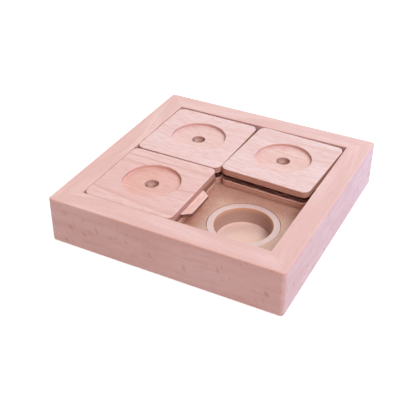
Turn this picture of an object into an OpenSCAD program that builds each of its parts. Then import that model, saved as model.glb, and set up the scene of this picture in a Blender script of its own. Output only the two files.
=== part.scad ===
// Sliding-tile treat puzzle for dogs: a square wooden tray with four cells,
// three sliding tiles, and a lift-out treat cup in the floor of every cell.
// Frame: +X to the right, +Y to the back, +Z up, origin under the middle of the tray on the floor.

/* [Tray] */
// Outer width and depth of the square tray
tray_side = 200; // [180:0.5:240]
// Height of the tray over its foot pads
tray_h = 40.4; // [36:0.1:50]
// Width of the frame rails, seen from above
rail_w = 19.4; // [17:0.1:24]
// Radius of the four upright outer corners
tray_corner_r = 3; // [2:0.5:8]
// Radius that eases the outer top and bottom edges of the rails
rail_ease = 1; // [0.6:0.1:1.8]

/* [Deck and bottom panel] */
// Thickness of the deck that the tiles slide over
deck_t = 4; // [3:0.5:5]
// How far the deck reaches into the rails
deck_housing = 6; // [4:0.5:8]
// Room around the deck's edges and over it, inside its housing
deck_air = 0.2; // [0.1:0.1:0.5]
// Thickness of the bottom panel
panel_t = 3; // [2.5:0.5:4]
// Width of the step in the rails that takes the bottom panel
panel_step = 9; // [7:0.5:10]
// Room around the bottom panel's edges
panel_air = 0.2; // [0.1:0.1:0.5]

/* [Tiles] */
// Free travel that the two tiles of a row share between them
tile_play = 4; // [3.4:0.1:5]
// Radius of a tile's upright corners
tile_corner_r = 6; // [4:0.5:10]
// Thickness of a tile's top plate
top_plate_t = 6.1; // [4.6:0.1:7]
// Thickness of a tile's core
core_t = 4.7; // [4.4:0.1:6.4]
// Thickness of a tile's lower plate
lower_plate_t = 5.8; // [4.6:0.1:7]
// Radius that eases the edges of both plates
plate_ease = 0.9; // [0.4:0.1:1.5]
// Depth of the groove along a tile's left and front sides
side_groove = 8; // [7.8:0.1:10]
// How far the core stands back from the plates on the other two sides
core_setback = 1; // [0.8:0.1:3]
// Diameter of the round recess in a tile's top
recess_d = 47.6; // [40:0.2:56]
// Depth of the round recess
recess_depth = 3; // [2:0.1:3.6]
// Diameter of the finger hole through a tile
finger_hole_d = 11.5; // [10:0.5:16]
// Running gap between a tile and the deck
slide_gap = 0.3; // [0.2:0.1:0.6]
// Gap left between a tile and what it is pushed against
rest_gap = 0.25; // [0.2:0.05:0.5]
// Gap behind the rearmost corner of the back left tile
back_left_gap = 2.1; // [1:0.1:2.3]
// Share of the free travel that the back left tile's slight twist takes up
back_left_skew = 0.15; // [0:0.01:0.2]
// Gap behind the rearmost corner of the back right tile, which lies askew
back_right_gap = 0.3; // [0.3:0.1:1]
// Share of the free travel that the back right tile's twist takes up
back_right_skew = 0.76; // [0:0.01:0.8]

/* [Tongues] */
// Thickness of the tongues and guide strips
tongue_t = 3; // [2.5:0.1:3.4]
// How far a tongue or guide strip stands out
tongue_reach = 6.6; // [6:0.1:7.4]
// Length of a tile's tongue where it leaves the tile
tongue_len = 37.4; // [30:0.2:44]
// How much shorter each end is at the tip
tongue_taper = 5; // [2:0.1:7]
// How far a tile's tongue lies off the middle of its side, clockwise from above
tongue_offset = 3.2; // [0:0.1:6]
// How far a tongue or guide strip is let into the wood
tongue_buried = 6; // [4:0.5:7]
// Height of a tongue over the tile's lower plate
tongue_rise = 1.1; // [0.8:0.1:1.4]
// Room above and below a tongue in the grooves of the rails
groove_air = 0.6; // [0.4:0.1:0.8]
// Depth of the grooves in the right and back rails
rail_groove = 8; // [7.8:0.1:9]
// Distance of a guide strip's ends from the tray's inner corners
strip_margin = 9; // [8:0.5:14]

/* [Treat cups] */
// Inner diameter of a cup at its rim
cup_d = 46.8; // [36:0.2:48]
// How far the wall leans in from rim to floor
cup_draft = 1.9; // [0.5:0.1:3]
// Depth of a cup from its rim to its floor
cup_depth = 13.6; // [10:0.2:15]
// Thickness of a cup's wall and floor
cup_wall = 1.5; // [1.2:0.1:2]
// Diameter of the cup's flange
flange_d = 57.6; // [54:0.2:62]
// Thickness of the flange
flange_t = 2; // [1.5:0.1:2.5]
// Radius of the lip between flange and wall
lip_r = 0.6; // [0.4:0.1:1.5]
// Radius between a cup's wall and floor, inside
cup_floor_r = 0.8; // [0.4:0.1:4]
// Running gap between a cup and its seat in the deck
cup_air = 0.3; // [0.2:0.05:0.5]

/* [Fastenings] */
// Diameter of the dowels across the mitre joints
dowel_d = 4; // [3:0.5:4.5]
// Length of the dowels
dowel_len = 16; // [10:1:18]
// Room around a dowel or a screw in its hole
pin_air = 0.05; // [0.05:0.05:0.15]
// Room past the end of a dowel or a screw
pin_end_air = 0.5; // [0.3:0.1:1]
// Shank diameter of the bottom panel's screws
screw_d = 3; // [2.5:0.5:3.5]
// Head diameter of the screws
screw_head_d = 6; // [5.5:0.5:7]
// Length of the screws
screw_len = 12; // [10:1:14]
// Distance of the screws from the middle of each rail
screw_spread = 52; // [30:1:65]
// Width of the cross recess in a screw's head
drive_w = 0.9; // [0.6:0.1:1.2]
// Length of each arm pair of the cross recess
drive_len = 3.4; // [2.5:0.1:4]
// Depth of the cross recess
drive_depth = 1.1; // [0.6:0.1:1.4]

/* [Foot pads] */
// Diameter of the anti-slip pads
pad_d = 12; // [8:1:14]
// Thickness of the pads
pad_t = 0.6; // [0.4:0.1:2]
// Distance of a pad's centre from the tray's outer faces
pad_inset = 8; // [8:0.5:10]

/* [Hidden] */
$fn = 96;

// How far a cutting shape runs past what it cuts
overrun = 1;

// Turn of each rail about the tray's centre, with the front rail as it is drawn
front = 0;
right = 90;
back = 180;
left = 270;

// Plan of the tray
opening = tray_side - 2 * rail_w;
inner = opening / 2;
outer = tray_side / 2;
cell = opening / 4;
tile_side = (opening - tile_play) / 2;
half_tile = tile_side / 2;
strip_len = opening - 2 * strip_margin;

// Heights over the floor, from the tiles' tops down
rail_bottom = pad_t;
rail_h = tray_h - pad_t;
top_plate_z = tray_h - top_plate_t;
core_z = top_plate_z - core_t;
lower_plate_z = core_z - lower_plate_t;
tongue_z = core_z + tongue_rise;
deck_top = lower_plate_z - slide_gap;
deck_bottom = deck_top - deck_t;
panel_top = rail_bottom + panel_t;
groove_bottom = tongue_z - groove_air;
groove_h = tongue_t + 2 * groove_air;

// Fastenings
dowel_zs = [(panel_top + deck_bottom) / 2, (deck_top + deck_air + groove_bottom) / 2];
mitre_middle = (inner + outer) / 2;
screw_line = inner + panel_step / 2;
screw_point = screw_d / 2;
screw_cone = (screw_head_d - screw_d) / 2;

// Cups
cup_r = cup_d / 2;
cup_outer_r = cup_r + cup_wall;
flange_r = flange_d / 2;
seat_depth = flange_t + cup_air;
wall_lean = atan(cup_draft / cup_depth);

// Plan centres of the three tiles, and the clockwise twists of the two that lie askew
bl_twist = asin(back_left_skew * tile_play / tile_side);
br_twist = asin(back_right_skew * tile_play / tile_side);
bl_reach = tile_reach(bl_twist);
br_reach = tile_reach(br_twist);
pushed = -inner + rest_gap + half_tile;
front_left = [pushed, pushed];
back_left = [-inner + rest_gap + bl_reach, inner - back_left_gap - bl_reach];
back_right = [pushed + half_tile + rest_gap + br_reach, inner - back_right_gap - br_reach];

// Half the room that a tile takes up along either axis when it is twisted
function tile_reach(twist) =
    (half_tile - tile_corner_r) * (cos(twist) + sin(twist)) + tile_corner_r;

// Half section of a plate edge: flat face of width w, height t, both corners rounded by ease
module edge_section(w, t, ease) {
    square([w - ease, t]);
    translate([0, ease]) square([w, t - 2 * ease]);
    intersection() {
        square([w, t]);
        for (y = [ease, t - ease]) translate([w - ease, y]) circle(r = ease);
    }
}

// Square slab standing on the plane it is placed on, with rounded corners and eased edges
module eased_slab(side, t, corner_r, ease) {
    straight = side - 2 * corner_r;
    translate([-straight / 2, -straight / 2, 0]) cube([straight, straight, t]);
    for (turn = [0, 90, 180, 270]) rotate([0, 0, turn]) {
        translate([straight / 2, straight / 2, 0])
            rotate_extrude(angle = 90) edge_section(corner_r, t, ease);
        translate([straight / 2, straight / 2, 0])
            rotate([90, 0, 0]) linear_extrude(straight) edge_section(corner_r, t, ease);
    }
}

// Plan of a tongue that points along +Y from y = 0: buried part, straight root, tapered end
module tongue_plan(root_len, root) {
    tip_len = root_len - 2 * tongue_taper;
    polygon([
        [-root_len / 2, -tongue_buried],
        [root_len / 2, -tongue_buried],
        [root_len / 2, root],
        [tip_len / 2, root + tongue_reach],
        [-tip_len / 2, root + tongue_reach],
        [-root_len / 2, root]
    ]);
}

// Plan of the front rail, cut at 45 degrees at both ends
module mitred_plan() {
    reach = outer + overrun;
    polygon([[-reach, -reach], [reach, -reach], [inner, -inner], [-inner, -inner]]);
}

// Slot in the front rail for its guide strip
module strip_slot() {
    translate([0, -inner, tongue_z]) linear_extrude(tongue_t)
        translate([-strip_len / 2, -tongue_buried]) square([strip_len, tongue_buried + overrun]);
}

// Groove that the tiles' tongues run in, cut in the front rail's place
module tongue_groove() {
    translate([-inner, -inner - rail_groove, groove_bottom])
        cube([opening, rail_groove + overrun, groove_h]);
}

// Housing for the deck and step for the bottom panel
module board_cuts() {
    deck_reach = inner + deck_housing;
    translate([-deck_reach, -deck_reach, deck_bottom])
        cube([2 * deck_reach, deck_housing + overrun, deck_t + deck_air]);
    panel_reach = inner + panel_step;
    translate([-panel_reach, -panel_reach, rail_bottom - overrun])
        cube([2 * panel_reach, panel_step + overrun, panel_t + overrun]);
}

// One dowel, or the hole for it, centred on a mitre line at height z
module across_mitre(side, z, r, len) {
    translate([side * mitre_middle, -mitre_middle, z])
        rotate([0, 0, side * 45]) rotate([0, 90, 0]) cylinder(r = r, h = len, center = true);
}

// A frame rail in the front rail's place, turned to its own side
module rail(turn, has_strip) {
    color("#ecc8bc") rotate([0, 0, turn]) difference() {
        intersection() {
            translate([0, 0, rail_bottom]) eased_slab(tray_side, rail_h, tray_corner_r, rail_ease);
            linear_extrude(tray_h + overrun) mitred_plan();
        }
        board_cuts();
        if (has_strip) strip_slot();
        else tongue_groove();
        for (side = [-1, 1]) {
            for (z = dowel_zs)
                across_mitre(side, z, dowel_d / 2 + pin_air, dowel_len + 2 * pin_end_air);
            translate([side * screw_spread, -screw_line, panel_top - overrun])
                cylinder(d = screw_d + 2 * pin_air, h = overrun + screw_len - panel_t + pin_end_air);
        }
    }
}

module guide_strip(turn) {
    color("#efd2c6") rotate([0, 0, turn]) translate([0, -inner, tongue_z])
        linear_extrude(tongue_t) tongue_plan(strip_len, 0);
}

module front_rail() { rail(front, true); }

module right_rail() { rail(right, false); }

module back_rail() { rail(back, false); }

module left_rail() { rail(left, true); }

module front_guide_strip() { guide_strip(front); }

module left_guide_strip() { guide_strip(left); }

module mitre_dowels() {
    color("#e0c29c") for (turn = [front, right, back, left], z = dowel_zs)
        rotate([0, 0, turn]) across_mitre(1, z, dowel_d / 2, dowel_len);
}

module at_cells() {
    for (x = [-cell, cell], y = [-cell, cell]) translate([x, y, 0]) children();
}

module deck() {
    side = opening + 2 * (deck_housing - deck_air);
    color("#bd9079") difference() {
        translate([-side / 2, -side / 2, deck_bottom]) cube([side, side, deck_t]);
        at_cells() {
            translate([0, 0, deck_top - seat_depth]) cylinder(r = flange_r + cup_air, h = seat_depth + overrun);
            translate([0, 0, deck_bottom - overrun]) cylinder(r = cup_outer_r + cup_air, h = deck_t + overrun);
        }
    }
}

module at_screws() {
    for (turn = [front, right, back, left], side = [-1, 1])
        rotate([0, 0, turn]) translate([side * screw_spread, -screw_line, rail_bottom]) children();
}

// Shank and countersunk head, point upwards, grown by air on every side
module screw_blank(air) {
    cylinder(r1 = screw_head_d / 2 + air, r2 = screw_d / 2 + air, h = screw_cone);
    cylinder(r = screw_d / 2 + air, h = screw_len - screw_point);
    translate([0, 0, screw_len - screw_point]) cylinder(r1 = screw_d / 2 + air, r2 = 0, h = screw_point);
}

module bottom_panel() {
    side = opening + 2 * (panel_step - panel_air);
    color("#a98468") difference() {
        translate([-side / 2, -side / 2, rail_bottom]) cube([side, side, panel_t]);
        at_screws() screw_blank(pin_air);
    }
}

module panel_screws() {
    color("#b9bcc0") at_screws() difference() {
        screw_blank(0);
        for (turn = [0, 90]) rotate([0, 0, turn])
            translate([-drive_len / 2, -drive_w / 2, -overrun]) cube([drive_len, drive_w, overrun + drive_depth]);
    }
}

module foot_pads() {
    place = outer - pad_inset;
    color("#54514e") for (x = [-place, place], y = [-place, place])
        translate([x, y, 0]) cylinder(d = pad_d, h = pad_t);
}

// What a rounding of radius r leaves over at a corner between the leaning wall and a level line.
// The level line runs outwards for side 1 and inwards for side -1.
module corner_rest(corner, side, r) {
    run = side * r * tan((90 - wall_lean) / 2);
    centre = corner + [run, -side * r];
    difference() {
        polygon([corner, corner + [run, 0], centre, corner - run * [sin(wall_lean), cos(wall_lean)]]);
        translate(centre) circle(r = r);
    }
}

// Half section of a cup, its rim at y = 0
module cup_section() {
    floor_r = cup_r - cup_draft;
    base_y = -cup_depth - cup_wall;
    difference() {
        union() {
            translate([0, -flange_t]) square([flange_r, flange_t]);
            polygon([[0, base_y], [floor_r + cup_wall, base_y], [cup_outer_r, 0], [0, 0]]);
        }
        difference() {
            polygon([[0, -cup_depth], [floor_r, -cup_depth], [cup_r, 0], [cup_r, overrun], [0, overrun]]);
            corner_rest([floor_r, -cup_depth], -1, cup_floor_r);
        }
        corner_rest([cup_r, 0], 1, lip_r);
    }
}

module cup(x, y) {
    color("#dccac4") translate([x, y, deck_top]) rotate_extrude() cup_section();
}

module front_right_cup() { cup(cell, -cell); }

module front_left_cup() { cup(-cell, -cell); }

module back_left_cup() { cup(-cell, cell); }

module back_right_cup() { cup(cell, cell); }

// Puts what belongs to a tile in the tile's place, turned clockwise by twist
module at_tile(centre, twist = 0) {
    translate([centre.x, centre.y, 0]) rotate([0, 0, -twist]) children();
}

module finger_hole() {
    cylinder(d = finger_hole_d, h = tray_h + overrun);
}

module top_plate() {
    color("#f0cdc8") difference() {
        translate([0, 0, top_plate_z]) eased_slab(tile_side, top_plate_t, tile_corner_r, plate_ease);
        translate([0, 0, tray_h - recess_depth]) cylinder(d = recess_d, h = recess_depth + overrun);
        finger_hole();
    }
}

module core() {
    side = tile_side - side_groove - core_setback;
    start = -half_tile + side_groove;
    color("#d9b3a5") difference() {
        translate([start, start, core_z]) cube([side, side, core_t]);
        finger_hole();
        for (turn = [0, -90]) rotate([0, 0, turn]) tongue_blank();
    }
}

module lower_plate() {
    color("#e8c4b8") difference() {
        translate([0, 0, lower_plate_z]) eased_slab(tile_side, lower_plate_t, tile_corner_r, plate_ease);
        finger_hole();
    }
}

// A tile's tongue, as it lies on the tile's back side
module tongue_blank() {
    translate([tongue_offset, half_tile - core_setback, tongue_z])
        linear_extrude(tongue_t) tongue_plan(tongue_len, core_setback);
}

module back_tongue() {
    color("#f2d6cc") tongue_blank();
}

module side_tongue() {
    rotate([0, 0, -90]) back_tongue();
}

module front_left_top_plate() { at_tile(front_left) top_plate(); }

module front_left_core() { at_tile(front_left) core(); }

module front_left_lower_plate() { at_tile(front_left) lower_plate(); }

module front_left_side_tongue() { at_tile(front_left) side_tongue(); }

module front_left_back_tongue() { at_tile(front_left) back_tongue(); }

module back_left_top_plate() { at_tile(back_left, bl_twist) top_plate(); }

module back_left_core() { at_tile(back_left, bl_twist) core(); }

module back_left_lower_plate() { at_tile(back_left, bl_twist) lower_plate(); }

module back_left_side_tongue() { at_tile(back_left, bl_twist) side_tongue(); }

module back_left_back_tongue() { at_tile(back_left, bl_twist) back_tongue(); }

module back_right_top_plate() { at_tile(back_right, br_twist) top_plate(); }

module back_right_core() { at_tile(back_right, br_twist) core(); }

module back_right_lower_plate() { at_tile(back_right, br_twist) lower_plate(); }

module back_right_side_tongue() { at_tile(back_right, br_twist) side_tongue(); }

module back_right_back_tongue() { at_tile(back_right, br_twist) back_tongue(); }

front_rail();
right_rail();
back_rail();
left_rail();
front_guide_strip();
left_guide_strip();
mitre_dowels();
deck();
bottom_panel();
panel_screws();
foot_pads();
front_right_cup();
front_left_cup();
back_left_cup();
back_right_cup();
front_left_top_plate();
front_left_core();
front_left_lower_plate();
front_left_side_tongue();
front_left_back_tongue();
back_left_top_plate();
back_left_core();
back_left_lower_plate();
back_left_side_tongue();
back_left_back_tongue();
back_right_top_plate();
back_right_core();
back_right_lower_plate();
back_right_side_tongue();
back_right_back_tongue();
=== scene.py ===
"""Looks of a sliding-tile treat puzzle for dogs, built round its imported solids.

A beech tray with four mitred rails, three tiles made of two plywood plates glued over a core,
and a moulded treat cup in the deck under every cell. Lengths are metres, and MM turns millimetres
into them.
"""
import math

import bmesh
import bpy
from mathutils import Matrix, Vector


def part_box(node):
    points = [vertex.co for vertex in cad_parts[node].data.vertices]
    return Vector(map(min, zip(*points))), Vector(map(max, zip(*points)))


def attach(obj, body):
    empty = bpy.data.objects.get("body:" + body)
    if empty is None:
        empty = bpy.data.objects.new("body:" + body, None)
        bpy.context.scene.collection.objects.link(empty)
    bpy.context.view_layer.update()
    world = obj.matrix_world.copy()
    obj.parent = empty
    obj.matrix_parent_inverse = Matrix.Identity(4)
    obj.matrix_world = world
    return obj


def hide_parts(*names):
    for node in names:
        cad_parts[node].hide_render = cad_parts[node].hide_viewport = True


MM = 0.001

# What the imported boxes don't tell, as on the real toy
TRAY_CORNER_R = 3 * MM
RAIL_EASE = 1 * MM
RAIL_INNER_EASE = 0.5 * MM
RAIL_GROOVE = 8 * MM
GROOVE_AIR = 0.6 * MM
DECK_AIR = 0.2 * MM
TILE_CORNER_R = 6 * MM
PLATE_EASE = 0.9 * MM
RECESS_D = 47.6 * MM
RECESS_DEPTH = 3 * MM
RECESS_RIM = 0.3 * MM
FINGER_HOLE_D = 11.5 * MM
CORE_SETBACK = 1 * MM
TONGUE_LEN = 37.4 * MM
TONGUE_TAPER = 5 * MM
TONGUE_BURIED = 6 * MM
TONGUE_OFFSET = 3.2 * MM
TONGUE_EASE = 0.7 * MM
TONGUE_CORNER_R = 1 * MM
CUP_D = 46.8 * MM
CUP_DRAFT = 1.9 * MM
CUP_WALL = 1.5 * MM
FLANGE_T = 2 * MM
LIP_R = 0.6 * MM
CUP_FLOOR_R = 0.8 * MM
MOULD_EDGE = 0.4 * MM
GATE_R = 0.5 * MM
GATE_NUB = 0.15 * MM
PAD_D = 12 * MM
PAD_EASE = 0.25 * MM

# The photograph's camera: a 69 mm lens to the right of the front, looking down
SENSOR = 36
LENS = 68.64
CAMERA_PLACE = Vector((0.24224, -0.49486, 0.38781))
CAMERA_AZIMUTH = math.radians(27.123)
CAMERA_ELEVATION = math.radians(35.07)
CAMERA_ROLL = math.radians(0.2)

ARC_STEPS = 6
ROUND_STEPS = 128
PLATE_SIDE_STEPS = 20
PLATE_CORNER_STEPS = 8
WELD = 0.001 * MM
SHARP_FROM = math.radians(35)

# Each piece is cut from its own stretch of a long board, so that no two show the same grain
RAIL_BOARD_STEP = 310 * MM
TILE_BOARD_STEP = 130 * MM
PLATE_BOARD_STEP = 110 * MM
TONGUE_BOARD_STEP = 90 * MM

FLOOR_HALF = 3.0


def linear(hex_colour):
    """A colour written as sRGB hex, as the linear RGBA that a shader takes."""
    channels = [int(hex_colour[i:i + 2], 16) / 255 for i in (1, 3, 5)]
    light = [c / 12.92 if c <= 0.04045 else ((c + 0.055) / 1.055) ** 2.4 for c in channels]
    return (*light, 1)


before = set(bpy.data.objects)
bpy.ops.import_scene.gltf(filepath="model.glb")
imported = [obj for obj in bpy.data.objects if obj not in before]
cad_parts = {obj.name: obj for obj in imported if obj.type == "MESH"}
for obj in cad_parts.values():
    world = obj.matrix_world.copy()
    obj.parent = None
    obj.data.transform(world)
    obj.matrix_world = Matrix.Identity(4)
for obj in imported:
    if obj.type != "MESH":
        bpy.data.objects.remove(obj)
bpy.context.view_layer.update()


def size_of(node):
    """The lengths of a node's box."""
    low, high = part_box(node)
    return Vector(high) - Vector(low)


def middle_of(node):
    """The middle of a node's box."""
    low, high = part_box(node)
    return (Vector(low) + Vector(high)) / 2


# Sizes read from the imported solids
rail_low, rail_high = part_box("front_rail")
outer = -rail_low[1]
tray_top = rail_high[2]
rail_bottom = rail_low[2]
rail_w = size_of("left_rail").x
inner = outer - rail_w
tile_side = size_of("front_left_top_plate").x
tongue_low, tongue_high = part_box("front_left_side_tongue")
deck_low, deck_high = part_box("deck")
panel_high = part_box("bottom_panel")[1]

TILES = ["front_left", "back_left", "back_right"]
CUPS = ["front_right", "front_left", "back_left", "back_right"]


def tile_twist(tile):
    """How far a tile lies askew, clockwise, from how much wider its square plate looks along X."""
    straight = tile_side - 2 * TILE_CORNER_R
    spread = (size_of(tile + "_top_plate").x - 2 * TILE_CORNER_R) / straight
    return math.asin(min(spread / math.sqrt(2), 1)) - math.pi / 4


# Mesh building


def arc(centre, radius, start, end, steps=ARC_STEPS):
    """Points of a round stretch in a plane, angles in degrees."""
    angles = [math.radians(start + (end - start) * i / steps) for i in range(steps + 1)]
    return [(centre[0] + radius * math.cos(a), centre[1] + radius * math.sin(a)) for a in angles]


def loft(name, rings, ends):
    """A closed mesh through rings of equally many points. ends is "joined" for a ring-shaped piece, or
    "capped"."""
    mesh = bmesh.new()
    rows = [[mesh.verts.new(point) for point in ring] for ring in rings]
    count = len(rows[0])
    pairs = list(zip(rows, rows[1:]))
    if ends == "joined":
        pairs.append((rows[-1], rows[0]))
    for low, high in pairs:
        for i in range(count):
            j = (i + 1) % count
            mesh.faces.new((low[i], low[j], high[j], high[i]))
    if ends == "capped":
        mesh.faces.new(reversed(rows[0]))
        mesh.faces.new(rows[-1])
    bmesh.ops.remove_doubles(mesh, verts=mesh.verts, dist=WELD)
    bmesh.ops.recalc_face_normals(mesh, faces=mesh.faces)
    data = bpy.data.meshes.new(name)
    mesh.to_mesh(data)
    mesh.free()
    return data


def set_board(data, to_board):
    """Stores every point's place in its own board: x along the grain, z through the board."""
    store = data.attributes.new("board", "FLOAT_VECTOR", "POINT")
    for vertex, entry in zip(data.vertices, store.data):
        entry.vector = to_board @ vertex.co


def mark_routed(data):
    """Marks the points of a plate that lie in its recess or its finger hole."""
    store = data.attributes.new("routed", "FLOAT", "POINT")
    for vertex, entry in zip(data.vertices, store.data):
        entry.value = float(vertex.co.xy.length < RECESS_D / 2 + RECESS_RIM / 2)


def finish_piece(data, body, node, material):
    """Puts a mesh into the scene as the piece that stands for a CAD node."""
    data.polygons.foreach_set("use_smooth", [True] * len(data.polygons))
    data.set_sharp_from_angle(angle=SHARP_FROM)
    data.materials.append(material)
    piece = bpy.data.objects.new("piece_" + node, data)
    bpy.context.scene.collection.objects.link(piece)
    flat = piece.modifiers.new("flat_faces_stay_flat", "WEIGHTED_NORMAL")
    flat.keep_sharp = True
    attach(piece, body)
    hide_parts(node)


# Materials


def add(tree, kind, inputs=None, **settings):
    """Adds a node with its settings. An input is given as a value or as the output that feeds it."""
    made = tree.nodes.new("ShaderNode" + kind)
    for name, value in settings.items():
        setattr(made, name, value)
    for key, value in (inputs or {}).items():
        if isinstance(value, bpy.types.NodeSocket):
            tree.links.new(value, made.inputs[key])
        else:
            made.inputs[key].default_value = value
    return made


# Places of a colour mix node's sockets
MIX_FACTOR, MIX_A, MIX_B, MIX_RESULT = 0, 6, 7, 2


def new_material(name):
    """A material with an empty node tree."""
    material = bpy.data.materials.new(name)
    material.use_nodes = True
    material.node_tree.nodes.clear()
    return material, material.node_tree


def close_material(tree, colour, height, depth, **shader):
    """Principled shader with its colour, a bump of the given depth, and whole-surface constants."""
    bump = add(tree, "Bump", {"Height": height, "Strength": 1.0, "Distance": depth})
    surface = add(tree, "BsdfPrincipled", {"Base Color": colour, "Normal": bump.outputs["Normal"]})
    for key, value in shader.items():
        surface.inputs[key.replace("_", " ")].default_value = value
    add(tree, "OutputMaterial", {"Surface": surface.outputs["BSDF"]})


def patches(tree, place, size, detail=2.0):
    """Noise with patches of the given size along, across and through the board."""
    scaled = add(tree, "VectorMath", {0: place, 1: [1 / length for length in size]}, operation="MULTIPLY")
    noise = add(tree, "TexNoise", {"Vector": scaled.outputs[0], "Scale": 1.0, "Detail": detail})
    return noise.outputs["Fac"]


def share(tree, value, low, high, top=1.0):
    """0 where value is under low, rising smoothly to top where it is over high."""
    return add(tree, "MapRange", {0: value, 1: low, 2: high, 3: 0.0, 4: top},
               interpolation_type="SMOOTHSTEP").outputs[0]


def tinted(tree, factor, under, over):
    """Colour under, going over to colour over by the factor."""
    mixed = add(tree, "Mix", {MIX_FACTOR: factor, MIX_A: under, MIX_B: over}, data_type="RGBA")
    return mixed.outputs[MIX_RESULT]


def facing_up(tree, low, high):
    """0 on upright faces, rising to 1 on level ones, by the upward share of the surface's normal."""
    upward = add(tree, "SeparateXYZ", {0: add(tree, "TexCoord").outputs["Normal"]}).outputs["Z"]
    level = add(tree, "Math", {0: upward}, operation="ABSOLUTE").outputs[0]
    return share(tree, level, low, high)


def beech_figure(tree, pale, deep, banding, veins):
    """Beech's long grain: growth layers that wander along the board, and short pores between fine fibres.
    banding is how strongly broad zones of the board go over to the deep colour, and veins is how strongly
    the thin late wood stands out in long lines."""
    board = add(tree, "Attribute", attribute_name="board").outputs["Vector"]
    # The layers run slightly askew and swing sideways, which draws long arches on a sawn face
    swing = patches(tree, board, (120 * MM, 60 * MM, 60 * MM), detail=0.0)
    aside = add(tree, "Math", {0: swing, 1: 40 * MM}, operation="MULTIPLY").outputs[0]
    shifted = add(tree, "CombineXYZ", {"Y": aside}).outputs[0]
    layered = add(tree, "VectorMath", {0: board, 1: shifted}, operation="ADD").outputs[0]
    tone = patches(tree, layered, (90 * MM, 11 * MM, 12 * MM), detail=1.0)
    layers = patches(tree, layered, (150 * MM, 2.2 * MM, 4 * MM), detail=1.5)
    # Pores and fibres are under 0.1 mm wide; drawn 0.8 mm and 0.5 mm wide so that they show
    pores = patches(tree, board, (8 * MM, 0.8 * MM, 0.8 * MM), detail=0.5)
    fibres = patches(tree, board, (9 * MM, 0.5 * MM, 0.5 * MM))
    colour = tinted(tree, share(tree, tone, 0.35, 0.68, banding), pale, deep)
    colour = tinted(tree, share(tree, layers, 0.5, 0.66, 0.5), colour, deep)
    colour = tinted(tree, share(tree, layers, 0.58, 0.7, veins), colour, linear("#d59c8c"))
    return colour, pores, fibres


def rail_beech():
    """Solid beech, planed and sanded, unvarnished: pale pink-cream and matt, with ray flecks on the side
    faces."""
    material, tree = new_material("rail_beech_sanded")
    colour, pores, fibres = beech_figure(tree, linear("#ebc7c6"), linear("#e1b5b2"), 0.8, 0.15)
    colour = tinted(tree, share(tree, pores, 0.5, 0.7, 0.3), colour, linear("#d8a79d"))
    level = facing_up(tree, 0.2, 0.5)
    board = add(tree, "Attribute", attribute_name="board").outputs["Vector"]
    # Rays are plates that stand in the board: the side faces cut them slantwise into short smudges
    slant = add(tree, "Mapping", {"Vector": board, "Rotation": (0, math.radians(32), 0)}).outputs[0]
    rays = patches(tree, slant, (3 * MM, 11 * MM, 9 * MM), detail=0.5)
    ray_share = share(tree, rays, 0.62, 0.85, 0.6)
    on_sides = add(tree, "Mix", {0: level, 2: ray_share, 3: 0.0}, data_type="FLOAT").outputs[0]
    colour = tinted(tree, on_sides, colour, linear("#bd7668"))
    # The eased edges are tinted warmer: partly denser grain that sanding laid bare, partly a painted
    # highlight
    rounding = add(tree, "Math", {0: facing_up(tree, 0.1, 0.4), 1: facing_up(tree, 0.85, 0.99)},
                   operation="SUBTRACT").outputs[0]
    edge_wear_and_highlight = add(tree, "Math", {0: rounding, 1: 0.6}, operation="MULTIPLY").outputs[0]
    colour = tinted(tree, edge_wear_and_highlight, colour, linear("#eab5a0"))
    plan = add(tree, "SeparateXYZ", {0: add(tree, "TexCoord").outputs["Object"]})
    along_x = add(tree, "Math", {0: plan.outputs["X"]}, operation="ABSOLUTE")
    along_y = add(tree, "Math", {0: plan.outputs["Y"]}, operation="ABSOLUTE")
    apart = add(tree, "Math", {0: along_x.outputs[0], 1: along_y.outputs[0]}, operation="SUBTRACT")
    off_mitre = add(tree, "Math", {0: apart.outputs[0]}, operation="ABSOLUTE")
    # The glue line of a mitre is hair-thin; drawn to fade out within 0.4 mm so that it shows
    line_half = 0.1 * MM
    line_end = 0.4 * MM
    glue = add(tree, "MapRange", {0: off_mitre.outputs[0], 1: line_half, 2: line_end, 3: 0.18, 4: 0.0})
    colour = tinted(tree, glue.outputs[0], colour, linear("#a97a6d"))
    close_material(tree, colour, fibres, 0.02 * MM, Roughness=0.5, IOR=1.5, Specular_IOR_Level=0.5)
    return material


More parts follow.
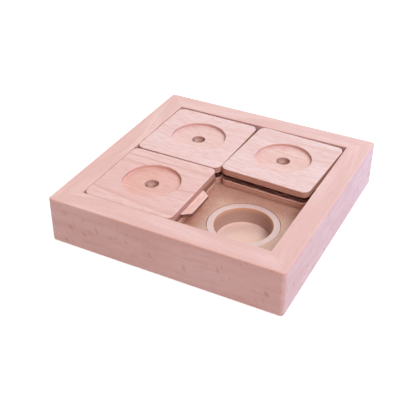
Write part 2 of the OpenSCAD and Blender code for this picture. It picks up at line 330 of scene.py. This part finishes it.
def plywood_plate(name, pale, deep, cut_face, veins, edge_wear_and_highlight="#e0a88f", level_from=0.35):
    """Beech plywood: a sanded face veneer with fine pores, browner sawn edges with thin plies, and a face
    that the router has cut one ply deeper. The edge colour goes on the rounded edges: warmer wood that
    sanding wore bare, and on the lower plates a pale painted highlight. level_from is the upward share of
    the normal at which the edge becomes the face."""
    material, tree = new_material("beech_plywood_" + name)
    colour, pores, fibres = beech_figure(tree, linear(pale), linear(deep), 0.6, veins)
    colour = tinted(tree, share(tree, pores, 0.48, 0.68, 0.45), colour, linear("#dda9a2"))
    routed = add(tree, "Attribute", attribute_name="routed").outputs["Fac"]
    # The ply that the router laid bare is warmer than the face veneer, in cloudy patches
    board = add(tree, "Attribute", attribute_name="board").outputs["Vector"]
    clouds = patches(tree, board, (20 * MM, 7 * MM, 9 * MM), detail=1.0)
    cut_colour = tinted(tree, share(tree, clouds, 0.35, 0.65, 0.6), linear(cut_face), (1, 1, 1, 1))
    warmed = add(tree, "Mix", {MIX_FACTOR: routed, MIX_A: colour, MIX_B: cut_colour}, data_type="RGBA",
                 blend_type="MULTIPLY")
    colour = warmed.outputs[MIX_RESULT]
    through = add(tree, "SeparateXYZ", {0: board}).outputs["Z"]
    ply_t = 1.25 * MM
    turn = add(tree, "Math", {0: through, 1: math.pi / ply_t}, operation="MULTIPLY").outputs[0]
    ply = add(tree, "Math", {0: turn}, operation="SINE").outputs[0]
    plies = tinted(tree, share(tree, ply, -0.6, 0.6), linear("#c49484"), linear("#cda292"))
    smudges = patches(tree, board, (2.5 * MM, 2.5 * MM, 1.1 * MM))
    plies = tinted(tree, share(tree, smudges, 0.5, 0.75, 0.45), plies, linear("#a0705f"))
    cut_plies = tinted(tree, share(tree, ply, -0.6, 0.6), linear("#d1a89f"), linear("#ddb6aa"))
    plies = tinted(tree, routed, plies, cut_plies)
    # The rounded edges take the edge colour: worn warmer wood on the face plates, a pale painted highlight
    # on the lower plates
    plies = tinted(tree, share(tree, facing_up(tree, 0.1, 0.5), 0.0, 1.0, 0.7), plies, linear(edge_wear_and_highlight))
    colour = tinted(tree, facing_up(tree, level_from, level_from + 0.3), plies, colour)
    close_material(tree, colour, fibres, 0.02 * MM, Roughness=0.6, IOR=1.5, Specular_IOR_Level=0.3)
    return material


def tongue_beech():
    """Solid beech strip, sawn and lightly sanded: pale, with plain long grain, and dark painted shade on its
    upright sides.
    """
    material, tree = new_material("tongue_beech_shaded_sides")
    colour, pores, fibres = beech_figure(tree, linear("#fbded4"), linear("#eec6bd"), 1.0, 0.4)
    colour = tinted(tree, share(tree, pores, 0.5, 0.66, 0.45), colour, linear("#d7a598"))
    # Upright sides are painted dark brown: painted shade that stands for the shadow under the tongue
    colour = tinted(tree, facing_up(tree, 0.3, 0.8), linear("#84584c"), colour)
    close_material(tree, colour, fibres, 0.03 * MM, Roughness=0.65, IOR=1.5, Specular_IOR_Level=0.3)
    return material


def core_board(tile):
    """Fibreboard core between the plates: painted near-black brown on the grooved sides as the shade inside
    the grooves, planed with the tongues on the two other sides, and with a paler wall where the drill cut
    cleanly."""
    material, tree = new_material("core_fibreboard_" + tile)
    place = add(tree, "TexCoord").outputs["Object"]
    fibres = patches(tree, place, (1.5 * MM, 1.5 * MM, 0.6 * MM))
    from_hole = add(tree, "VectorMath", {0: place, 1: middle_of(tile + "_core")}, operation="DISTANCE")
    # The grooved sides are painted near-black brown: painted shade of the deep grooves
    groove_shade = tinted(tree, share(tree, fibres, 0.35, 0.65), linear("#4a2c26"), linear("#3b201b"))
    planed = tinted(tree, share(tree, fibres, 0.35, 0.65), linear("#ab7c6d"), linear("#966657"))
    normal = add(tree, "SeparateXYZ", {0: add(tree, "TexCoord").outputs["Normal"]})
    back_or_right = add(tree, "Math", {0: normal.outputs["X"], 1: normal.outputs["Y"]}, operation="MAXIMUM")
    shaded_and_planed_sides = tinted(tree, share(tree, back_or_right.outputs[0], 0.6, 0.8), groove_shade, planed)
    drilled = tinted(tree, share(tree, fibres, 0.35, 0.65), linear("#fbdccf"), linear("#ecc2b4"))
    # The drilled wall lies nearer to the core's middle than these two distances, the sides farther off
    hole_wall = 8 * MM
    past_hole = 10 * MM
    colour = tinted(tree, share(tree, from_hole.outputs["Value"], hole_wall, past_hole), drilled, shaded_and_planed_sides)
    close_material(tree, colour, fibres, 0.05 * MM, Roughness=0.8, IOR=1.5, Specular_IOR_Level=0.2)
    return material


def deck_hardboard():
    """Hardboard: pressed brown wood fibre with pale and dark specks, and a smooth, slightly waxy face."""
    material, tree = new_material("deck_hardboard_pressed")
    place = add(tree, "TexCoord").outputs["Object"]
    # Single fibres are 0.1 mm wide; the specks are drawn 0.9 mm wide so that they show
    specks = patches(tree, place, (0.9 * MM, 0.9 * MM, 0.9 * MM), detail=3.0)
    clouds = patches(tree, place, (12 * MM, 12 * MM, 12 * MM))
    colour = tinted(tree, share(tree, clouds, 0.35, 0.65), linear("#ca9b89"), linear("#c1907b"))
    colour = tinted(tree, share(tree, specks, 0.5, 0.7, 0.7), colour, linear("#e6c3b8"))
    colour = tinted(tree, share(tree, specks, 0.45, 0.3, 0.6), colour, linear("#946b56"))
    close_material(tree, colour, specks, 0.02 * MM, Roughness=0.42, IOR=1.5, Specular_IOR_Level=0.9)
    return material


def panel_board():
    """Thin fibreboard for the underside, unfinished: even brown with soft mottling."""
    material, tree = new_material("panel_fibreboard_plain")
    place = add(tree, "TexCoord").outputs["Object"]
    specks = patches(tree, place, (1.1 * MM, 1.1 * MM, 1.1 * MM), detail=3.0)
    clouds = patches(tree, place, (25 * MM, 18 * MM, 20 * MM))
    colour = tinted(tree, share(tree, clouds, 0.35, 0.65), linear("#b58e74"), linear("#a67f66"))
    colour = tinted(tree, share(tree, specks, 0.5, 0.72, 0.5), colour, linear("#c9a58c"))
    close_material(tree, colour, specks, 0.03 * MM, Roughness=0.7, IOR=1.5, Specular_IOR_Level=0.25)
    return material


def cup_plastic():
    """Polypropylene, injection moulded, cream and satin: pale where it lies on something, painted browner on
    the thin wall as the shade inside the cup, with a painted glow of light soaking into the wall just under
    the rim."""
    material, tree = new_material("cup_polypropylene_moulded")
    place = add(tree, "TexCoord").outputs["Object"]
    height = add(tree, "SeparateXYZ", {0: place}).outputs["Z"]
    cup_low, cup_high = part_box("front_right_cup")
    floor = cup_low[2] + CUP_WALL
    rim = cup_high[2]
    # Heights above the cup's floor, and depths under its rim, between which one colour goes over to the next
    wall_start = 0.1 * MM
    wall_full = 0.7 * MM
    lit_start = 5 * MM
    lit_full = 0.6 * MM
    flange_start = 0.7 * MM
    flange_full = 0.2 * MM
    mottle = patches(tree, place, (6 * MM, 6 * MM, 6 * MM))
    bottom = tinted(tree, share(tree, mottle, 0.35, 0.65), linear("#f2d0c5"), linear("#efcbbe"))
    # The wall is painted browner: painted shade inside the cup
    painted_wall_shade = share(tree, height, floor + wall_start, floor + wall_full)
    colour = tinted(tree, painted_wall_shade, bottom, linear("#b59286"))
    # A warm band under the rim is a painted glow of light soaking through the plastic
    painted_rim_glow = share(tree, height, rim - lit_start, rim - lit_full)
    colour = tinted(tree, painted_rim_glow, colour, linear("#d9a887"))
    flange = share(tree, height, rim - flange_start, rim - flange_full)
    colour = tinted(tree, flange, colour, linear("#dfc3c0"))
    close_material(tree, colour, mottle, 0.01 * MM, Roughness=0.38, IOR=1.49, Subsurface_Weight=0.15,
                   Subsurface_Radius=(4 * MM, 2.4 * MM, 1.6 * MM), Subsurface_Scale=1.0)
    return material


def screw_zinc():
    """Zinc-plated steel: bright grey metal with faint turning marks."""
    material, tree = new_material("screw_steel_zinc_plated")
    place = add(tree, "TexCoord").outputs["Object"]
    marks = patches(tree, place, (0.3 * MM, 0.3 * MM, 0.3 * MM))
    colour = tinted(tree, share(tree, marks, 0.3, 0.7), linear("#b9bcbf"), linear("#a5a8ab"))
    close_material(tree, colour, marks, 0.01 * MM, Roughness=0.35, Metallic=1.0)
    return material


def pad_rubber():
    """Foam rubber, die cut: dark grey, matt and finely pored."""
    material, tree = new_material("pad_rubber_foamed")
    place = add(tree, "TexCoord").outputs["Object"]
    pores = patches(tree, place, (0.5 * MM, 0.5 * MM, 0.5 * MM))
    colour = tinted(tree, share(tree, pores, 0.35, 0.65), linear("#54514e"), linear("#3f3d3b"))
    close_material(tree, colour, pores, 0.05 * MM, Roughness=0.9, IOR=1.5, Specular_IOR_Level=0.2)
    return material


def dowel_beech():
    """Turned beech dowel, unfinished: plain pale brown with fine long fibres."""
    material, tree = new_material("dowel_beech_turned")
    place = add(tree, "TexCoord").outputs["Object"]
    fibres = patches(tree, place, (1 * MM, 1 * MM, 0.6 * MM))
    colour = tinted(tree, share(tree, fibres, 0.35, 0.65), linear("#e4c5a2"), linear("#d3b08c"))
    close_material(tree, colour, fibres, 0.02 * MM, Roughness=0.65, IOR=1.5, Specular_IOR_Level=0.3)
    return material


# Tray rails, each drawn as the front rail and turned to its side


def rail_section(groove_shade):
    """Outline of a rail across its length, as (distance from the outer face, height)."""
    panel_step = inner_reach(panel_high[0])
    deck_housing = inner_reach(deck_high[0])
    low, high = rail_bottom + RAIL_EASE, tray_top - RAIL_EASE
    points = arc((RAIL_EASE, low), RAIL_EASE, 270, 180)
    points += arc((RAIL_EASE, high), RAIL_EASE, 180, 90)
    points += arc((rail_w - RAIL_INNER_EASE, tray_top - RAIL_INNER_EASE), RAIL_INNER_EASE, 90, 0, 3)
    if groove_shade:
        points += notch(RAIL_GROOVE, tongue_high[2] + GROOVE_AIR, tongue_low[2] - GROOVE_AIR)
    points += notch(deck_housing, deck_high[2] + DECK_AIR, deck_low[2])
    points += [(rail_w, panel_high[2]), (rail_w - panel_step, panel_high[2])]
    return points + [(rail_w - panel_step, rail_bottom)]


def inner_reach(board_edge):
    """How far the cut for a board goes into a rail, with the air round the board."""
    return board_edge + DECK_AIR - inner


def notch(depth, top, bottom):
    """Points of a groove in a rail's inner face."""
    return [(rail_w, top), (rail_w - depth, top), (rail_w - depth, bottom), (rail_w, bottom)]


def rail_rings(section):
    """The section laid along the rail, from mitre to mitre, round half of each upright outer corner."""
    def corner(side, angle):
        """The section at an angle round the rail's left or right outer corner."""
        ring = []
        for off, height in section:
            centre = outer - max(off, TRAY_CORNER_R)
            radius = max(TRAY_CORNER_R - off, 0)
            across = centre + radius * math.sin(angle)
            ahead = centre + radius * math.cos(angle)
            ring.append((side * across, -ahead, height))
        return ring
    angles = [math.radians(45 * i / ARC_STEPS) for i in range(ARC_STEPS + 1)]
    return [corner(-1, a) for a in reversed(angles)] + [corner(1, a) for a in angles]


def build_rail(node, quarter, groove_shade, material):
    """A rail, drawn at the front and turned to its side by quarter turns."""
    data = loft(node, rail_rings(rail_section(groove_shade)), "capped")
    set_board(data, Matrix.Translation((quarter * RAIL_BOARD_STEP, 0, 0)))
    data.transform(Matrix.Rotation(math.radians(90 * quarter), 4, "Z"))
    finish_piece(data, "tray", node, material)


# Guide strips and tongues


def rounded(corners, radius, steps=4):
    """A convex outline with its corners rounded."""
    points = []
    for i, here in enumerate(corners):
        before = (corners[i - 1] - here).normalized()
        after = (corners[(i + 1) % len(corners)] - here).normalized()
        half = before.angle(after) / 2
        inward = (before + after).normalized()
        centre = here + inward * radius / math.sin(half)
        start = here + before * radius / math.tan(half) - centre
        sweep = -(math.pi - 2 * half) / steps
        for k in range(steps + 1):
            turned = Matrix.Rotation(-sweep * k, 2) @ start
            points.append(centre + turned)
    return points


def drawn_in(outline, distance):
    """An outline moved inwards, point by point, along the middle of its neighbours' normals."""
    points = []
    for i, here in enumerate(outline):
        along = (outline[(i + 1) % len(outline)] - outline[i - 1]).normalized()
        points.append(here + Vector((-along.y, along.x)) * distance)
    return points


def eased_strip(name, outline, low, high, ease):
    """A flat strip with the given outline, counter-clockwise, and rounded upper and lower edges."""
    rings = []
    for off, height in arc((ease, low + ease), ease, 270, 180) + arc((ease, high - ease), ease, 180, 90):
        rings.append([(p.x, p.y, height) for p in drawn_in(outline, off)])
    return loft(name, rings, "capped")


def tongue_outline(length, root, reach):
    """Plan of a tongue that points along +Y, counter-clockwise from its buried left end."""
    tip = length / 2 - TONGUE_TAPER
    corners = [
        (-length / 2, -TONGUE_BURIED),
        (length / 2, -TONGUE_BURIED),
        (length / 2, root),
        (tip, root + reach),
        (-tip, root + reach),
        (-length / 2, root),
    ]
    return rounded([Vector(c) for c in corners], TONGUE_CORNER_R)


def build_guide_strip(node, turn, material):
    """A strip set in a rail, drawn at the front and turned by degrees to its side."""
    strip_low, strip_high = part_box(node)
    length = size_of(node).x if turn == 0 else size_of(node).y
    reach = (strip_high[1] if turn == 0 else strip_high[0]) + inner
    data = eased_strip(node, tongue_outline(length, 0, reach), strip_low[2], strip_high[2], TONGUE_EASE)
    set_board(data, Matrix.Translation((turn * MM, 0, 0)))
    data.transform(Matrix.Rotation(math.radians(turn), 4, "Z") @ Matrix.Translation((0, -inner, 0)))
    finish_piece(data, "tray", node, material)


def build_tongue(tile, side, turn, material):
    """A tongue at a tile's back, or turned by degrees to its right side."""
    node = tile + "_" + side + "_tongue"
    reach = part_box("front_left_side_tongue")[1][0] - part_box("front_left_top_plate")[1][0]
    outline = tongue_outline(TONGUE_LEN, CORE_SETBACK, reach)
    data = eased_strip(node, outline, tongue_low[2], tongue_high[2], TONGUE_EASE)
    set_board(data, Matrix.Translation((TILES.index(tile) * TONGUE_BOARD_STEP, turn * MM, 0)))
    out = Matrix.Translation((TONGUE_OFFSET, tile_side / 2 - CORE_SETBACK, 0))
    data.transform(tile_place(tile) @ Matrix.Rotation(math.radians(turn), 4, "Z") @ out)
    finish_piece(data, tile + "_tile", node, material)


# Tiles


def tile_place(tile):
    """Where a tile lies in the tray, from its top plate's box, with its turn."""
    centre = middle_of(tile + "_top_plate")
    return Matrix.Translation((centre.x, centre.y, 0)) @ Matrix.Rotation(-tile_twist(tile), 4, "Z")


def plate_directions():
    """Plan points of a plate's outer edge as functions of how far the edge is drawn in."""
    straight = tile_side / 2 - TILE_CORNER_R
    spots = []
    for quarter in range(4):
        turn = Matrix.Rotation(math.pi / 2 * quarter, 2)
        for i in range(PLATE_CORNER_STEPS + 1):
            angle = math.pi / 2 * i / PLATE_CORNER_STEPS
            way = Vector((math.cos(angle), math.sin(angle)))
            spots.append((turn @ Vector((straight, straight)), turn @ way))
        for i in range(1, PLATE_SIDE_STEPS):
            across = straight - 2 * straight * i / PLATE_SIDE_STEPS
            spots.append((turn @ Vector((across, straight)), turn @ Vector((0, 1))))
    return spots


def square_ring(spots, drawn, height):
    """The plate's outline at a height, drawn in from its outer edge."""
    radius = TILE_CORNER_R - drawn
    return [(s.x + d.x * radius, s.y + d.y * radius, height) for s, d in spots]


def round_ring(spots, radius, height):
    """A circle at a height, with a point for each spot of the plate's outline."""
    ring = []
    for s, d in spots:
        way = (s + d * TILE_CORNER_R).normalized()
        ring.append((way.x * radius, way.y * radius, height))
    return ring


def build_plate(tile, which, material):
    """A tile's top plate with its recess and hole, or its lower plate with the hole alone."""
    node = tile + "_" + which + "_plate"
    low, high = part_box(node)[0][2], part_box(node)[1][2]
    spots = plate_directions()
    hole = FINGER_HOLE_D / 2
    rings = [round_ring(spots, hole, low)]
    edge = arc((PLATE_EASE, low + PLATE_EASE), PLATE_EASE, 270, 180)
    edge += arc((PLATE_EASE, high - PLATE_EASE), PLATE_EASE, 180, 90)
    rings += [square_ring(spots, off, height) for off, height in edge]
    floor = high
    if which == "top":
        floor = high - RECESS_DEPTH
        rim = RECESS_D / 2
        rings += [round_ring(spots, rim + RECESS_RIM, high), round_ring(spots, rim, high - RECESS_RIM)]
        rings += [round_ring(spots, rim, floor + RECESS_RIM), round_ring(spots, rim - RECESS_RIM, floor)]
    rings += [round_ring(spots, hole + RECESS_RIM, floor), round_ring(spots, hole, floor - RECESS_RIM)]
    data = loft(node, rings, "joined")
    mark_routed(data)
    aside = PLATE_BOARD_STEP if which == "top" else 0
    set_board(data, Matrix.Translation((TILES.index(tile) * TILE_BOARD_STEP, aside, -low)))
    data.transform(tile_place(tile))
    finish_piece(data, tile + "_tile", node, material)


# Treat cups and pads


def revolved(name, section):
    """A closed mesh turned round the Z axis from (radius, height) points that start and end on the axis."""
    rings = []
    for radius, height in section:
        angles = [2 * math.pi * i / ROUND_STEPS for i in range(ROUND_STEPS)]
        rings.append([(radius * math.cos(a), radius * math.sin(a), height) for a in angles])
    return loft(name, rings, "capped")


def cup_section(top, base):
    """Inside floor, leaning wall, lip, flange, then the underside back to the middle."""
    rim = CUP_D / 2
    foot = rim - CUP_DRAFT
    flange = size_of("front_right_cup").x / 2
    floor = base + CUP_WALL
    lean = math.atan(CUP_DRAFT / (top - floor))
    lean_degrees = math.degrees(lean)
    corner_run = math.tan((math.pi / 2 - lean) / 2)
    outer_foot = foot + CUP_WALL
    outer_rim = rim + CUP_WALL - math.tan(lean) * FLANGE_T
    floor_corner = (foot - CUP_FLOOR_R * corner_run, floor + CUP_FLOOR_R)
    lip_middle = (rim + LIP_R * corner_run, top - LIP_R)
    points = [(GATE_R / 2, floor + GATE_NUB), (GATE_R, floor)]
    points += arc(floor_corner, CUP_FLOOR_R, 270, 360 - lean_degrees, 8)
    points += arc(lip_middle, LIP_R, 180 - lean_degrees, 90, 8)
    points += arc((flange - MOULD_EDGE, top - MOULD_EDGE), MOULD_EDGE, 90, 0, 4)
    points += arc((flange - MOULD_EDGE, top - FLANGE_T + MOULD_EDGE), MOULD_EDGE, 0, -90, 4)
    points += [(outer_rim, top - FLANGE_T)]
    points += arc((outer_foot - MOULD_EDGE, base + MOULD_EDGE), MOULD_EDGE, 0, -90, 4)
    return points + [(GATE_R, base)]


def build_cup(cell, material):
    """A cup in the middle of its cell."""
    node = cell + "_cup"
    low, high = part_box(node)
    data = revolved(node, cup_section(high[2], low[2]))
    centre = middle_of(node)
    data.transform(Matrix.Translation((centre.x, centre.y, 0)))
    finish_piece(data, cell + "_bowl", node, material)


def build_pads(material):
    """The four stick-on pads under the tray's corners, as one piece."""
    low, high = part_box("foot_pads")
    place = high[0] - PAD_D / 2
    together = bmesh.new()
    for x in (-place, place):
        for y in (-place, place):
            section = [(PAD_EASE, low[2])]
            section += arc((PAD_D / 2 - PAD_EASE, low[2] + PAD_EASE), PAD_EASE, -90, 0, 3)
            section += [(PAD_D / 2, high[2]), (PAD_EASE, high[2])]
            data = revolved("pad", section)
            data.transform(Matrix.Translation((x, y, 0)))
            together.from_mesh(data)
            bpy.data.meshes.remove(data)
    pads = bpy.data.meshes.new("foot_pads")
    together.to_mesh(pads)
    together.free()
    finish_piece(pads, "tray", "foot_pads", material)


# Camera, lights and floor


def set_camera():
    """The photograph's camera."""
    data = bpy.data.cameras.new("camera")
    data.lens = LENS
    data.sensor_width = SENSOR
    camera = bpy.data.objects.new("camera", data)
    turn = Matrix.Rotation(CAMERA_AZIMUTH, 4, "Z")
    tip = Matrix.Rotation(math.pi / 2 - CAMERA_ELEVATION, 4, "X")
    roll = Matrix.Rotation(CAMERA_ROLL, 4, "Z")
    camera.matrix_world = Matrix.Translation(CAMERA_PLACE) @ turn @ tip @ roll
    bpy.context.scene.collection.objects.link(camera)
    bpy.context.scene.camera = camera


def soft_lamp(name, place, size, watts, colour):
    """A square soft box that faces the middle of the tray."""
    data = bpy.data.lights.new(name, "AREA")
    data.size = size
    data.energy = watts
    data.color = colour
    lamp = bpy.data.objects.new(name, data)
    lamp.location = place
    lamp.rotation_euler = (Vector((0, 0, tray_top)) - Vector(place)).to_track_quat("-Z", "Y").to_euler()
    bpy.context.scene.collection.objects.link(lamp)


def seen_directly(tree):
    """1 where the camera sees a surface directly, or in gloss or through glass."""
    path = add(tree, "LightPath").outputs
    gloss = add(tree, "Math", {0: path["Is Camera Ray"], 1: path["Is Glossy Ray"]}, operation="MAXIMUM")
    either = add(tree, "Math", {0: gloss.outputs[0], 1: path["Is Transmission Ray"]}, operation="MAXIMUM")
    return either.outputs[0]


def set_world(glow):
    """White as the camera sees it; for the object a nearly dark room with twice the glow at its front."""
    world = bpy.data.worlds.new("studio")
    bpy.context.scene.world = world
    world.use_nodes = True
    tree = world.node_tree
    tree.nodes.clear()
    way = add(tree, "SeparateXYZ", {0: add(tree, "TexCoord").outputs["Generated"]})
    to_front = add(tree, "MapRange", {0: way.outputs["Y"], 1: 0.0, 2: -1.0, 3: 1.0, 4: 2.0})
    room = add(tree, "Background", {"Color": (glow, glow, glow, 1), "Strength": to_front.outputs[0]})
    white = add(tree, "Background", {"Color": (1, 1, 1, 1), "Strength": 1.0})
    both = add(tree, "MixShader", {0: seen_directly(tree), 1: room.outputs[0], 2: white.outputs[0]})
    add(tree, "OutputWorld", {"Surface": both.outputs[0]})


def set_floor():
    """A pale floor that reads as white and keeps the tray's soft shadow."""
    corners = [(x * FLOOR_HALF, y * FLOOR_HALF, 0) for x, y in ((-1, -1), (1, -1), (1, 1), (-1, 1))]
    data = bpy.data.meshes.new("floor")
    data.from_pydata(corners, [], [(0, 1, 2, 3)])
    floor = bpy.data.objects.new("floor", data)
    bpy.context.scene.collection.objects.link(floor)
    material, tree = new_material("floor_white_board")
    table = add(tree, "BsdfDiffuse", {"Color": linear("#bcbcbc")})
    paint = add(tree, "BsdfDiffuse", {"Color": linear("#e6e6e6")})
    glow = add(tree, "Emission", {"Color": (1, 1, 1, 1), "Strength": 0.7})
    lifted = add(tree, "AddShader", {0: paint.outputs[0], 1: glow.outputs[0]})
    both = add(tree, "MixShader", {0: seen_directly(tree), 1: table.outputs[0], 2: lifted.outputs[0]})
    add(tree, "OutputMaterial", {"Surface": both.outputs[0]})
    data.materials.append(material)


def dress_node(node, material):
    """Gives a CAD node that stays its finish."""
    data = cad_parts[node].data
    data.materials.clear()
    data.materials.append(material)


def build_tray():
    """The rails and strips are drawn anew; the boards, screws and dowels keep their solids."""
    beech = rail_beech()
    build_rail("front_rail", 0, False, beech)
    build_rail("right_rail", 1, True, beech)
    build_rail("back_rail", 2, True, beech)
    build_rail("left_rail", 3, False, beech)
    strips = tongue_beech()
    build_guide_strip("front_guide_strip", 0, strips)
    build_guide_strip("left_guide_strip", 270, strips)
    dress_node("deck", deck_hardboard())
    dress_node("bottom_panel", panel_board())
    dress_node("panel_screws", screw_zinc())
    dress_node("mitre_dowels", dowel_beech())
    build_pads(pad_rubber())


def build_tiles():
    """Plates and tongues are drawn anew; each core keeps its solid."""
    veneers = {
        "front_left": plywood_plate("front_left", "#f2cfcd", "#eac0bc", "#fbece4", 0.42),
        "back_left": plywood_plate("back_left", "#f5d9da", "#efcac8", "#fcf7f2", 0.1),
        "back_right": plywood_plate("back_right", "#f4dbdc", "#ebc9c6", "#fef4ee", 0.2),
    }
    # The lower plates' level faces are painted dark brown, a painted shade of the grooves between the
    # plates, and their rounded edges take a pale painted highlight
    painted_shade_faces = plywood_plate("painted_shade_faces", "#6f473c", "#5f3b31", "#f0e0d8", 0.2, edge_wear_and_highlight="#f2cbbb",
                             level_from=0.68)
    tongues = tongue_beech()
    for tile in TILES:
        build_plate(tile, "top", veneers[tile])
        build_plate(tile, "lower", painted_shade_faces)
        build_tongue(tile, "back", 0, tongues)
        build_tongue(tile, "side", -90, tongues)
        dress_node(tile + "_core", core_board(tile))


def build_cups():
    """A cup in every cell, all of one plastic."""
    plastic = cup_plastic()
    for cell in CUPS:
        build_cup(cell, plastic)


build_tray()
build_tiles()
build_cups()
set_camera()
set_world(glow=0.01)
# Four large soft boxes above the tray, and three small fills near the table
soft_lamp("key_soft_box", (1.04, 0.0, 2.02), size=1.2, watts=23.8, colour=(1.0, 0.98, 1.0))
soft_lamp("front_right_soft_box", (1.26, -1.26, 1.34), size=1.2, watts=22.4, colour=(1.0, 0.97, 1.0))
soft_lamp("back_left_soft_box", (-1.26, 1.26, 1.34), size=1.2, watts=13.1, colour=(1.0, 0.87, 0.66))
soft_lamp("back_soft_box", (0.0, 1.78, 1.34), size=1.2, watts=11.6, colour=(0.9, 1.0, 0.99))
soft_lamp("front_fill", (0.0, -1.08, 0.27), size=0.6, watts=1.4, colour=(1.0, 0.36, 0.05))
soft_lamp("low_right_fill", (0.95, 0.75, 0.07), size=0.3, watts=2.6, colour=(0.1, 0.1, 1.0))
soft_lamp("low_back_right_fill", (0.3, 0.38, 0.06), size=0.16, watts=0.6, colour=(0.42, 0.68, 1.0))
set_floor()
bpy.context.scene.view_settings.view_transform = "Standard"
